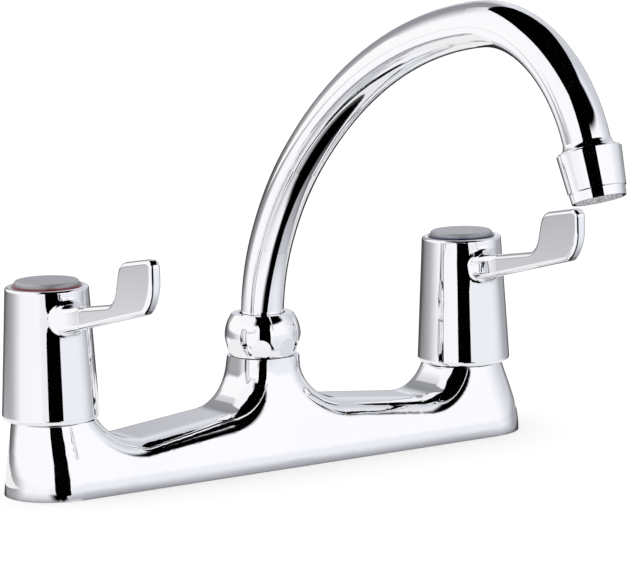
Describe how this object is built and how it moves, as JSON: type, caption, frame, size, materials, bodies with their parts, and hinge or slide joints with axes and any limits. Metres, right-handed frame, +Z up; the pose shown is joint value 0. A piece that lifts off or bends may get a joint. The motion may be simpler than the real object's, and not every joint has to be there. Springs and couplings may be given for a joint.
{
  "type": "two handle kitchen faucet",
  "caption": "Deck mounted kitchen sink mixer with hot and cold lever handles on quarter-turn valves and a swivel swan-neck spout with an aerator.",
  "frame": {"origin": "middle of the base, on the deck it stands on", "axes": "+X along the body from the hot valve to the cold valve, -Y towards the user, +Z up out of the deck"},
  "size_m": [0.222, 0.2329, 0.2324],
  "materials": {
    "chrome": "polished chrome plate",
    "chrome_satin": "satin metal disc",
    "index_red": "dark red ring",
    "index_blue": "dark blue ring",
    "brass": "machined brass",
    "steel": "stainless steel",
    "rubber": "black rubber",
    "ceramic": "ground ceramic",
    "nylon": "natural nylon",
    "aerator": "grey moulded plastic"
  },
  "bodies": {
    "mixer_body": {"faucet_body": "chrome", "deck_gasket": "rubber", "spout_nut": "chrome", "spout_slip_ring": "nylon", "inlet_tail_hot": "brass", "rubber_washer_hot": "rubber", "steel_washer_hot": "steel", "backnut_hot": "brass", "cartridge_body_hot": "brass", "cartridge_gasket_hot": "rubber", "seat_seal_hot": "rubber", "fixed_disc_hot": "ceramic", "inlet_tail_cold": "brass", "rubber_washer_cold": "rubber", "steel_washer_cold": "steel", "backnut_cold": "brass", "cartridge_body_cold": "brass", "cartridge_gasket_cold": "rubber", "seat_seal_cold": "rubber", "fixed_disc_cold": "ceramic"},
    "handle_hot": {"lever_handle_hot": "chrome", "spline_bush_hot": "nylon", "handle_screw_hot": "steel", "index_cap_hot": "chrome_satin", "valve_spindle_hot": "brass", "spindle_seal_hot": "rubber", "spindle_clip_hot": "steel", "moving_disc_hot": "ceramic", "index_ring_hot": "index_red"},
    "handle_cold": {"lever_handle_cold": "chrome", "spline_bush_cold": "nylon", "handle_screw_cold": "steel", "index_cap_cold": "chrome_satin", "valve_spindle_cold": "brass", "spindle_seal_cold": "rubber", "spindle_clip_cold": "steel", "moving_disc_cold": "ceramic", "index_ring_cold": "index_blue"},
    "spout": {"spout_tube": "chrome", "spout_ferrule": "brass", "spout_seals": "rubber", "nozzle_housing": "chrome", "aerator_insert": "aerator", "aerator_washer": "rubber"}
  },
  "joints": [
    {"name": "hot_valve", "type": "hinge", "parent": "mixer_body", "child": "handle_hot", "pos_m": [-0.09, 0, 0.06], "axis": [0, 0, -1], "range_deg": [0, 90]},
    {"name": "cold_valve", "type": "hinge", "parent": "mixer_body", "child": "handle_cold", "pos_m": [0.09, 0, 0.06], "axis": [0, 0, 1], "range_deg": [0, 90]},
    {"name": "spout_swivel", "type": "hinge", "parent": "mixer_body", "child": "spout", "pos_m": [0, 0, 0.045], "axis": [0, 0, 1], "continuous": true}
  ]
}
